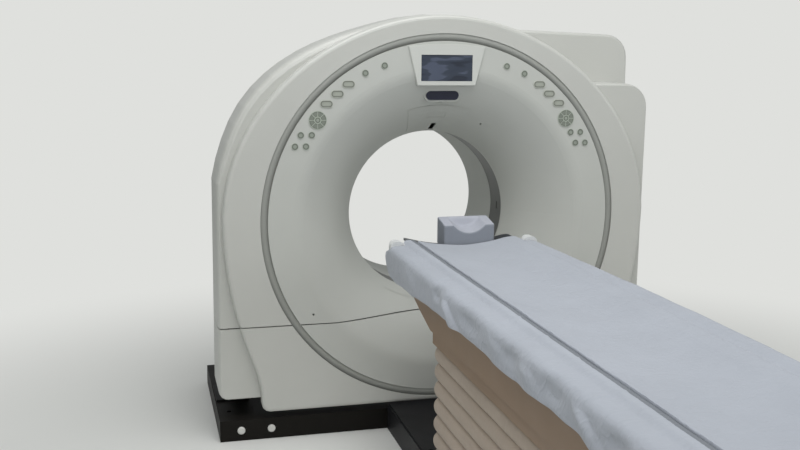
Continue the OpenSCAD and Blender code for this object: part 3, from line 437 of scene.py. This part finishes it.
def wander(v, seed, waves=5, low=0.6):
    """Smooth irregular wave of v in metres, from about -1 to 1, the same on each run."""
    if seed not in waves_made:
        rng = np.random.default_rng(seed)
        f = low * (1 + 1.7 * np.arange(waves)) * rng.uniform(0.8, 1.2, waves)
        w = 1 / (1 + 0.5 * np.arange(waves))
        waves_made[seed] = [(2 * math.pi * f[k], rng.uniform(0, 2 * math.pi), 1.4 * w[k] / w.sum())
                            for k in range(waves)]
    return sum(w * math.sin(f * v + ph) for f, ph, w in waves_made[seed])


# Cotton sheet over the table top: one sheet in the photograph; here its middle rides with the cradle and a
# strip stays over each rail. Places run along the table from the gantry face, heights from the bore axis.
FAR_HEM, RAIL_GAP = 0.002, 0.0007  # short of the node's far end, and clear of the rail
SHEET_FAR, SHEET_NEAR = sides("sheet", Y, FRONT)
SHEET_FAR = round(SHEET_FAR + FAR_HEM, 4)
RAIL_OUT = round(sides("side_rails", X)[1] + RAIL_GAP, 4)  # least distance of the cloth from the middle
SHOULDER_X, SHOULDER_Z = 0.3262, -0.0745  # where the cloth starts to fall
CLOTH = 0.0010  # thickness
BULGE = 0.0050  # even roundness of the falls
HEM_THICK, HEM_FROM = 0.0005, 0.86  # the sewn hem stands out below this share of the fall
FOLD_GAIN, HOLLOW_GAIN, CREASE_GAIN = 1.25, 1.3, 1.6  # how much stronger than in the lists below

# the fall at each side: broad folds (place at the rail, place at the hem, width, height) and hollows
# (place, depth, width, how far down, how tall)
FOLDS = {
    -1: [(-0.600, -0.690, 0.160, 0.0050), (-1.065, -1.185, 0.085, 0.0125), (-1.540, -1.640, 0.150, 0.0050),
         (-1.790, -1.860, 0.120, 0.0080), (-2.120, -2.250, 0.110, 0.0105), (-2.430, -2.480, 0.110, 0.0080)],
    1: [(-0.520, -0.600, 0.110, 0.0080), (-0.830, -0.780, 0.140, 0.0060), (-1.180, -1.290, 0.110, 0.0105),
        (-1.560, -1.620, 0.150, 0.0060), (-1.900, -2.020, 0.120, 0.0100), (-2.330, -2.390, 0.120, 0.0080)],
}
HOLLOWS = {
    -1: [(-0.820, 0.0035, 0.130, 0.40, 0.60), (-0.985, 0.0085, 0.060, 0.16, 0.42),
         (-1.330, 0.0075, 0.170, 0.30, 0.55), (-1.700, 0.0050, 0.080, 0.25, 0.50),
         (-1.985, 0.0100, 0.100, 0.30, 0.60), (-2.340, 0.0080, 0.090, 0.30, 0.55)],
    1: [(-0.680, 0.0060, 0.100, 0.30, 0.55), (-1.060, 0.0080, 0.090, 0.25, 0.50),
        (-1.420, 0.0070, 0.120, 0.35, 0.60), (-1.770, 0.0080, 0.090, 0.25, 0.50),
        (-2.180, 0.0080, 0.110, 0.30, 0.60)],
}
# lowest edge at each side, along the table
HEMS = {
    -1: ((-2.578, -2.500, -2.220, -1.970, -1.670, -1.330, -0.900, -0.600, -0.420, -0.330, -0.285, -0.262),
         (-0.128, -0.142, -0.146, -0.140, -0.147, -0.147, -0.150, -0.166, -0.178, -0.170, -0.150, -0.128)),
    1: ((-2.578, -2.500, -2.100, -1.600, -1.100, -0.600, -0.350, -0.262),
        (-0.126, -0.140, -0.146, -0.141, -0.148, -0.150, -0.146, -0.124)),
}
# short creases on the strip between the groove and the left rail: place, width, height, slant
CREASES = [(-0.372, 0.012, 0.0010, 0.10), (-0.455, 0.016, 0.0016, 0.20), (-0.560, 0.012, 0.0012, -0.10),
           (-0.668, 0.014, 0.0018, 0.16), (-0.742, 0.010, 0.0012, 0.24), (-0.905, 0.014, 0.0018, 0.14),
           (-0.960, 0.010, 0.0014, 0.22), (-1.130, 0.018, 0.0015, -0.10), (-1.250, 0.012, 0.0018, 0.18),
           (-1.310, 0.010, 0.0013, 0.10), (-1.490, 0.018, 0.0018, 0.12), (-1.690, 0.020, 0.0016, -0.12),
           (-1.905, 0.016, 0.0018, 0.14), (-2.160, 0.018, 0.0016, -0.08)]
# how far the cloth stands up round over the right rail, where it was pulled on loosely
LOOSE = ((-2.578, -2.2, -1.8, -1.2, -0.6, -0.26), (0.006, 0.015, 0.018, 0.015, 0.006, 0.0))


def puff(side, y):
    """The looseness at a place along the table; none on the left."""
    return float(np.interp(y, *LOOSE)) if side > 0 else 0.0


def fall(side, y, t):
    """A point of a side fall: t runs from the rail's shoulder down to the hem."""
    push = BULGE * math.sin(math.pi * min(1.0, 0.12 + 0.75 * t)) * (1 + 0.4 * wander(y, 7 + side, 4, 0.7))
    for top, hem, width, height in FOLDS[side]:
        centre = top + (hem - top) * t
        across = bell((y - centre) / (width * (0.45 + 0.6 * t)))
        push += FOLD_GAIN * height * across * step((t + 0.15) / 0.55)
    for at, depth, width, down, tall in HOLLOWS[side]:
        push -= HOLLOW_GAIN * depth * bell((y - at) / width) * bell((t - down) / tall)
    push += 0.8 * puff(side, y) * (1 - t)
    push += 0.0007 * wander(y + 0.06 * t, 17 + side, 5, 2.4) + (HEM_THICK if t > HEM_FROM else 0.0)
    low = float(np.interp(y, *HEMS[side])) + 0.0025 * wander(y, 27 + side, 4, 1.2)
    z = SHOULDER_Z + t * (low - SHOULDER_Z)
    return side * max(RAIL_OUT, SHOULDER_X + push), z


def creased(x, y):
    """How far the cloth stands up on the top at this place."""
    lift = 0.0007 * (1 + wander(y + 0.4 * x, 21, 4, 0.9))
    if -0.315 < x < -0.208:  # between the left rail's shoulder and the groove
        for at, width, height, slant in CREASES:
            reach = step((x + 0.318) / 0.03) * step((-0.206 - x) / 0.02)
            lift += CREASE_GAIN * height * bell((y - at - slant * (x + 0.255)) / (0.8 * width)) * reach
        for top, hem, width, height in FOLDS[-1]:
            lift += 0.22 * height * bell((y - top) / (0.6 * width)) * step((-0.262 - x) / 0.05)
    elif x < -0.183:  # the rolled edge of the mat shows through as small knots
        lift += 0.0011 * max(0.0, wander(y, 33, 6, 4.0)) * bell((x + 0.187) / 0.008)
    elif x < 0.23:  # over the mattress
        lift += 0.0013 * (1 + wander(y * 0.7 + 1.3 * x, 40, 4, 0.8)) * bell(x / 0.25)
    if x > 0.19:  # over the right rail
        lift += 0.0011 * (1 + wander(y - 0.5 * x, 44, 5, 1.6)) * bell((x - 0.255) / 0.07)
    return lift


def solid_sheet(name, rows, material, body):
    """A closed cloth: the lower face on the given grid, the upper face one thickness out."""
    nr, nc = len(rows), len(rows[0])
    grid = np.array(rows)
    nrm = np.cross(np.gradient(grid, axis=1), np.gradient(grid, axis=0))
    nrm /= np.linalg.norm(nrm, axis=2, keepdims=True)
    if nrm[..., 2].sum() < 0:
        nrm = -nrm
    outer = grid + CLOTH * nrm
    n = nr * nc
    verts = np.concatenate([outer.reshape(-1, 3), grid.reshape(-1, 3)])
    faces = []
    for r in range(nr - 1):
        for c in range(nc - 1):
            a, b = r * nc + c, (r + 1) * nc + c
            faces += [(a, a + 1, b + 1, b), (n + a, n + b, n + b + 1, n + a + 1)]
    edges = []
    for r in range(nr - 1):
        a, b = r * nc, (r + 1) * nc
        edges += [(a, b), (b + nc - 1, a + nc - 1)]
    for c in range(nc - 1):
        far = (nr - 1) * nc + c
        edges += [(c + 1, c), (far, far + 1)]
    faces += [(a, b, n + b, n + a) for a, b in edges]
    return piece(name, verts, faces, material, body, "sheet_blue", 0.9)


# the strip over a rail, from its shoulder to its inner end, for the left and the right
OVER_RAIL = [(0.3242, -0.0655), (0.3195, -0.0585), (0.3130, -0.0540), (0.3040, -0.0515), (0.2900, -0.0505),
             (0.2760, -0.0500), (0.2620, -0.0490), (0.2590, -0.0483), (0.2545, -0.0466), (0.2480, -0.0430),
             (0.2430, -0.0403), (0.2385, -0.0393)]
INNER = {
    -1: [(0.2320, -0.0393), (0.2240, -0.0398), (0.2160, -0.0403), (0.2090, -0.0408), (0.2055, -0.0416),
         (0.2040, -0.0432), (0.2034, -0.0455), (0.2030, -0.0478), (0.2020, -0.0493), (0.1995, -0.0501),
         (0.1965, -0.0509), (0.1938, -0.0516), (0.1922, -0.0520)],
    1: [(0.2345, -0.0397), (0.2300, -0.0409), (0.2220, -0.0437), (0.2130, -0.0464), (0.2050, -0.0487)],
}
TUCKED = {-1: 0.2055, 1: 0.236}  # inside this the strips lie close: in the groove, and under the lap
FALL_ROWS = 22
# painted shade of the groove: a dark grey strip along the inner edge of the left strip
GROOVE_SHADE = cloth("sheet_groove_shade", band=(-0.2205, -0.1915, "#747980"), **SHEETING)
# where the near edge lies: past the white rail end on the outer side, behind it on the top
EDGE_TOP = ((0.190, 0.246, 0.2545, 0.2580, 0.2605, 0.3130, 0.3195, 0.3242),
            (-0.2455, -0.2480, -0.262, -0.290, -0.3070, -0.3070, -0.3060, -0.296))
EDGE_FALL = ((0.0, 0.05, 0.15, 0.40, 0.65, 0.82, 0.93, 1.0),
             (-0.276, -0.266, -0.2605, -0.2600, -0.2625, -0.268, -0.279, -0.296))
STRIP_ROWS, MIDDLE_ROWS = 331, 301
CLOSE = 0.3  # share of the creases that shows where the cloth turns down or lies close


def strip_rows(side):
    """Rows of points across the strip over one rail, from its hem to its inner edge."""
    rows = []
    for r in np.linspace(0, 1, STRIP_ROWS):
        row = []
        for k in range(FALL_ROWS):
            t = 1 - k / FALL_ROWS
            start = float(np.interp(t, *EDGE_FALL))
            y = start + r * (SHEET_FAR - start)
            x, z = fall(side, y, t)
            row.append((x, FRONT + y, AXIS + z))
        shoulder = fall(side, y, 0.0)[0] * side - SHOULDER_X
        for x, z in OVER_RAIL + INNER[side]:
            start = float(np.interp(x, *EDGE_TOP))
            y = start + r * (SHEET_FAR - start)
            lift = creased(side * x, y) * (CLOSE if x > 0.318 or x < TUCKED[side] else 1)
            lift += puff(side, y) * bell((x - 0.306) / 0.062)
            out = shoulder * step((x - 0.300) / 0.026)  # the shoulder follows the fall outwards
            row.append((side * (x + out), FRONT + y, AXIS + z + lift))
        rows.append(row)
    return rows


for side, name in ((-1, "cotton_side_left"), (1, "cotton_side_right")):
    strip = solid_sheet(name, strip_rows(side), GROOVE_SHADE if side < 0 else MAT["sheet_blue"], "table_top")
    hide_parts("rail_drapes")

# the middle: up out of the groove, over the mattress, and down to its lap over the right strip
OUT_OF_GROOVE = [(-0.1896, -0.0508), (-0.1897, -0.0490), (-0.1896, -0.0470), (-0.1892, -0.0455),
                 (-0.1880, -0.0443), (-0.1860, -0.0442), (-0.1830, -0.0446)]
ON_MAT, OVER_MAT, MAT_COLUMNS = 0.176, 0.0008, 36  # half width, height over the mattress, columns of points
LAP = [(0.1820, -0.0455), (0.1870, -0.0444), (0.1950, -0.0431), (0.2050, -0.0418), (0.2150, -0.0405),
       (0.2240, -0.0394), (0.2290, -0.0388), (0.2325, -0.0385)]


def middle_rows():
    """Rows of points across the middle; the part in the groove stays free of creases."""
    on_mat = [(x, mat_z(x) + OVER_MAT) for x in np.linspace(-ON_MAT, ON_MAT, MAT_COLUMNS)]
    rows = []
    for r in np.linspace(0, 1, MIDDLE_ROWS):
        row = []
        for x, z in OUT_OF_GROOVE + on_mat + LAP:
            start = SHEET_NEAR - 0.0022 * (1 + wander(x * 2.2, 61, 4, 0.9))
            y = start + r * (SHEET_FAR - start)
            row.append((x, FRONT + y, AXIS + z + creased(x, y) * (1 if x > -0.1885 else 0.0)))
        rows.append(row)
    return rows


cotton = solid_sheet("cotton_sheet", middle_rows(), MAT["sheet_blue"], "cradle_top")
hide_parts("sheet")

# Foam head holder
HOLD_SIDES, HOLD_ENDS = sides("head_holder", X), sides("head_holder", Y, FRONT)
HOLD_X, HOLD_W = round(sum(HOLD_SIDES) / 2, 4), round(HOLD_SIDES[1] - HOLD_SIDES[0], 4)  # middle and width
HOLD_Y0, HOLD_L = HOLD_ENDS[0], round(HOLD_ENDS[1] - HOLD_ENDS[0], 4)  # near end and length
HOLD_RISE = 0.023  # rise to the back
HOLD_TOP = round(sides("head_holder", Z, AXIS)[1] - HOLD_RISE, 4)  # height at the near end
HOLD_MID = HOLD_Y0 + HOLD_L / 2
HOLD_GAP = 0.0006  # over the cradle
DIP_R, DIP_DEPTH = 0.090, 0.034
DIP_CLOSE, DIP_END = 0.72, 0.16  # the dip closes from this share of the length, over this share
DIP_SOFT = 0.003  # softness of the dip's edge
HOLD_EDGE, HOLD_CORNER = 0.005, 0.009  # radii of the rolled edge and of the corners


def holder_top(x, y):
    """Height of the top: a plane that climbs to the back, with a scoop closed at the back."""
    v = (y - HOLD_Y0) / HOLD_L
    u = x - HOLD_X
    scoop = math.sqrt(max(0.0, DIP_R**2 - u * u)) - (DIP_R - DIP_DEPTH)
    scoop *= 1 - step((v - DIP_CLOSE) / DIP_END)
    scoop = 0.5 * (scoop + math.sqrt(scoop * scoop + DIP_SOFT**2)) - 0.0004
    return HOLD_TOP + HOLD_RISE * v - max(0.0, scoop)


def spread(length, count):
    """Places along a side, closer together within the rolled edge."""
    rim = [0.0, 0.0004, 0.0012, 0.0024, 0.0038, HOLD_EDGE]
    inner = list(np.linspace(HOLD_EDGE, length - HOLD_EDGE, count))[1:-1]
    return [v - length / 2 for v in rim + inner + [length - v for v in reversed(rim)]]


def rounded(px, py):
    """Pull the corners of a rectangle of the holder's size onto a quarter circle."""
    cx, cy = HOLD_W / 2 - HOLD_CORNER, HOLD_L / 2 - HOLD_CORNER
    dx, dy = abs(px) - cx, abs(py) - cy
    if dx > 0 and dy > 0:
        k = max(dx, dy) / math.hypot(dx, dy)
        return math.copysign(cx + dx * k, px), math.copysign(cy + dy * k, py)
    return px, py


def holder_mesh():
    """A grid of points on top, the same grid on the cradle, and walls between their rims."""
    xs, ys = spread(HOLD_W, 56), spread(HOLD_L, 30)
    nx, ny = len(xs), len(ys)
    top, low = [], []
    for qy in ys:
        for qx in xs:
            px, py = rounded(qx, qy)
            deep = min(HOLD_W / 2 - abs(qx), HOLD_L / 2 - abs(qy), HOLD_EDGE)
            roll = HOLD_EDGE - math.sqrt(max(0.0, HOLD_EDGE**2 - (HOLD_EDGE - deep) ** 2))
            x, y = HOLD_X + px, HOLD_MID + py
            top.append((x, FRONT + y, AXIS + holder_top(x, y) - roll))
            low.append((x, FRONT + y, AXIS + cradle_z(x) + HOLD_GAP))
    rim = list(range(nx)) + [k * nx + nx - 1 for k in range(1, ny)]
    rim += [(ny - 1) * nx + k for k in range(nx - 2, -1, -1)] + [k * nx for k in range(ny - 2, 0, -1)]
    verts = top + low
    rings = [rim]
    for share in (0.05, 0.2, 0.4, 0.6, 0.8, 0.95):
        rings.append(range(len(verts), len(verts) + len(rim)))
        for i in rim:
            a, b = np.array(top[i]), np.array(low[i])
            verts.append(tuple(a + share * (b - a)))
    rings.append([nx * ny + i for i in rim])
    faces = []
    for k in range(ny - 1):
        for i in range(nx - 1):
            a, b = k * nx + i, nx * ny + k * nx + i
            faces += [(a, a + 1, a + nx + 1, a + nx), (b, b + nx, b + nx + 1, b + 1)]
    for a, b in zip(rings, rings[1:]):
        for i in range(len(rim)):
            j = (i + 1) % len(rim)
            faces.append((a[i], b[i], b[j], a[j]))
    return verts, faces


def holder_surface():
    """Coated foam: the top and its scoop are painted paler than the walls, a painted highlight of light from
    above.
    """
    g = Graph("holder_coat")
    at = g.axes()
    across = g.math("ABSOLUTE", g.math("SUBTRACT", at["X"], HOLD_X))
    along = g.math("ABSOLUTE", g.math("SUBTRACT", at["Y"], FRONT + HOLD_MID))
    beside = g.math("MAXIMUM", g.math("SUBTRACT", across, HOLD_W / 2), g.math("SUBTRACT", along, HOLD_L / 2))
    wall, lit_top_tone = linear("#8d929b"), linear("#aeb1bb")
    # painted light: the top is painted paler, the walls keep the foam's own grey
    tone = g.ramp(g.math("ADD", g.math("MULTIPLY", beside, 100), 1.0), [(0.50, lit_top_tone), (0.85, wall)])
    g.set(Base_Color=g.mix(g.math("MULTIPLY", g.noise(30, 4), 0.22), tone, times(wall, 0.8)))
    g.rough(40, 0.14, 0.6)
    g.bump(g.noise(700, 2), 0.4, SKIN)
    return g.mat


holder = piece("foam_head_holder", *holder_mesh(), holder_surface(), "cradle_top", "holder_grey", 1.2)
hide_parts("head_holder")


# Bellows skin
def rounded_rect(w, l, r, per=7, side=14):
    """Closed outline of a rounded rectangle round its middle, with evenly spread side points."""
    pts = []
    corners = [(w / 2 - r, l / 2 - r, 0), (-w / 2 + r, l / 2 - r, 90),
               (-w / 2 + r, -l / 2 + r, 180), (w / 2 - r, -l / 2 + r, 270)]
    for k, (cx, cy, a0) in enumerate(corners):
        for j in range(per + 1):
            a = math.radians(a0 + 90 * j / per)
            pts.append((cx + r * math.cos(a), cy + r * math.sin(a)))
        nx, ny, na = corners[(k + 1) % 4]
        a = math.radians(na)
        ex, ey = nx + r * math.cos(a), ny + r * math.sin(a)
        sx, sy = pts[-1]
        for j in range(1, side):
            pts.append((sx + (ex - sx) * j / side, sy + (ey - sy) * j / side))
    return pts


BEL_FAR, BEL_NEAR = sides("bellows", Y, FRONT)
BEL_MID, BEL_LONG = FRONT + (BEL_NEAR + BEL_FAR) / 2, BEL_NEAR - BEL_FAR
BEL_HALF = sides("bellows", X)[1]
BEL_GAP = 0.0004  # to the plinth and to the frame
BEL_LOW, BEL_TOP = sides("bellows", Z)
BEL_LOW, BEL_TOP = round(BEL_LOW + BEL_GAP, 4), round(BEL_TOP - BEL_GAP, 4)
PLEATS, PER = 7, 12  # pleats, and rings of points in each
FOLD_IN, BEL_THICK = 0.020, 0.030  # depth of a fold, and of the wall with its folds
BEL_CORNER, BEL_INNER = 0.034, 0.012  # corner radius on a crest, and of the lining
SLACK, SAGGING = 0.0018, 0.0022  # of the skin on a crest, sideways and down


def pleat_ring(k):
    """One ring of points round the bellows, counted from below: proud on a crest, drawn in at a fold."""
    u = (k % PER) / PER
    wave = 1 - math.sqrt(max(0.0, math.sin(math.pi * u))) if k % PER else 1.0  # 1 in a fold, 0 on a crest
    z = BEL_LOW + (BEL_TOP - BEL_LOW) * k / (PLEATS * PER)
    tier = k // PER
    inset = FOLD_IN * wave
    w, l = 2 * (BEL_HALF - inset), BEL_LONG - 2 * inset
    ring = []
    for px, py in rounded_rect(w, l, BEL_CORNER - 0.3 * inset):
        slack = SLACK * wander(px * 1.7 + py + 0.9 * tier, 70, 4, 1.1) * (1 - wave)
        sag = SAGGING * (1 - wave) * math.sin(math.pi * min(1, abs(py) / (l / 2)))
        ring.append((px * (1 + slack / BEL_HALF * 0.6), BEL_MID + py, z - sag))
    return ring


def bellows_mesh():
    """A closed wall: the pleats outside, a plain lining inside."""
    rings = [pleat_ring(k) for k in range(PLEATS * PER + 1)]
    lining = rounded_rect(2 * (BEL_HALF - BEL_THICK), BEL_LONG - 2 * BEL_THICK, BEL_INNER)
    rings += [[(px, BEL_MID + py, z) for px, py in lining] for z in (BEL_TOP, BEL_LOW)] + [rings[0]]
    n = len(rings[0])
    faces = [(k * n + i, k * n + (i + 1) % n, (k + 1) * n + (i + 1) % n, (k + 1) * n + i)
             for k in range(len(rings) - 1) for i in range(n)]
    return [p for ring in rings for p in ring], faces


skin = piece("bellows_skin", *bellows_mesh(), MAT["bellows_beige"], "base", "bellows_beige", 1.0)
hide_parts("bellows")
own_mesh(skin)

# Floor, backdrop, light and camera
scene = bpy.context.scene
scene.view_settings.view_transform = "Standard"
scene.view_settings.look = "None"

PALE = linear("#dfe0dd")
NEAR_FLOOR, FAR_FLOOR = 1.6, 4.2  # the floor is lit within the first, and even beyond the second
AMBIENT = 0.35  # strength of the light from all round


def paper_floor():
    """Pale paper: lit near the object, where it takes the shadow, and one even tone far from it."""
    g = Graph("floor")
    g.set(Base_Color=g.ramp(g.noise(1.2, 4), [(0.3, times(PALE, 0.985)), (0.7, PALE)]), Roughness=0.9)
    g.bump(g.noise(300, 2), 0.05, SKIN)
    far = g.add("ShaderNodeEmission")
    far.inputs[0].default_value = (*PALE, 1)
    reach = g.add("ShaderNodeVectorMath", operation="LENGTH")
    g.link(g.coords, reach.inputs[0])
    away = g.add("ShaderNodeMapRange", interpolation_type="SMOOTHSTEP")
    away.inputs["From Min"].default_value = NEAR_FLOOR
    away.inputs["From Max"].default_value = FAR_FLOOR
    g.link(reach.outputs["Value"], away.inputs["Value"])
    seen_by_camera = g.add("ShaderNodeLightPath").outputs["Is Camera Ray"]
    both = g.add("ShaderNodeMixShader")
    g.link(g.math("MULTIPLY", away.outputs[0], seen_by_camera), both.inputs[0])
    g.link(g.bsdf.outputs[0], both.inputs[1])
    g.link(far.outputs[0], both.inputs[2])
    g.link(both.outputs[0], g.out.inputs[0])
    return g.mat


bpy.ops.mesh.primitive_plane_add(size=60, location=(0, 0, -0.0005))
o = bpy.context.object
o.name = "floor"
o.data.materials.append(paper_floor())


def studio_world():
    """The camera sees the pale tone, and the object is lit by a dimmer one."""
    world = bpy.data.worlds.new("studio")
    world.use_nodes = True
    tree = world.node_tree
    tree.nodes.clear()
    out = tree.nodes.new("ShaderNodeOutputWorld")
    seen = tree.nodes.new("ShaderNodeBackground")
    seen.inputs[0].default_value = (*PALE, 1)
    lit = tree.nodes.new("ShaderNodeBackground")
    lit.inputs[0].default_value = (0.97, 1.0, 0.99, 1)
    lit.inputs[1].default_value = AMBIENT
    path = tree.nodes.new("ShaderNodeLightPath")
    pick = tree.nodes.new("ShaderNodeMixShader")
    tree.links.new(path.outputs["Is Camera Ray"], pick.inputs[0])
    tree.links.new(lit.outputs[0], pick.inputs[1])
    tree.links.new(seen.outputs[0], pick.inputs[2])
    tree.links.new(pick.outputs[0], out.inputs[0])
    return world


scene.world = studio_world()


def area(name, location, target, size, power):
    """A rectangular light at a place, turned towards a target; power in watts."""
    data = bpy.data.lights.new(name, "AREA")
    data.shape = "RECTANGLE"
    data.size, data.size_y = size
    data.energy = power
    o = bpy.data.objects.new(name, data)
    scene.collection.objects.link(o)
    o.location = location
    o.rotation_euler = (Vector(target) - Vector(location)).to_track_quat("-Z", "Y").to_euler()


area("ceiling", (-0.5, -0.6, 4.2), (0, 0.4, 0.6), (3.6, 3.6), 116)
area("front", (-2.8, -4.6, 2.9), (0, 0.6, 0.9), (2.6, 2.0), 22)
area("side", (3.8, -1.6, 2.4), (0, 0.4, 0.8), (2.0, 2.0), 22)


def fitted_camera():
    """The camera fitted to the photograph: turn, place from the bore's mouth, and focal length in pixels."""
    yaw, pitch, roll = (math.radians(v) for v in (14.79, 9.97, 0.58))
    place = Vector((-1.3093, FRONT - 4.1934, AXIS + 0.7455))
    focal, width = 1000.03, 800
    look = Vector((math.sin(yaw) * math.cos(pitch), math.cos(yaw) * math.cos(pitch), -math.sin(pitch)))
    right = look.cross(Vector((0, 0, 1))).normalized()
    up = right.cross(look)
    right, up = math.cos(roll) * right + math.sin(roll) * up, math.cos(roll) * up - math.sin(roll) * right
    cam = bpy.data.objects.new("camera", bpy.data.cameras.new("camera"))
    scene.collection.objects.link(cam)
    cam.data.sensor_width = 36
    cam.data.lens = cam.data.sensor_width * focal / width
    cam.data.clip_end = 100
    cam.matrix_world = Matrix([(*right, 0), (*up, 0), (*-look, 0), (*place, 1)]).transposed()
    return cam


scene.camera = fitted_camera()
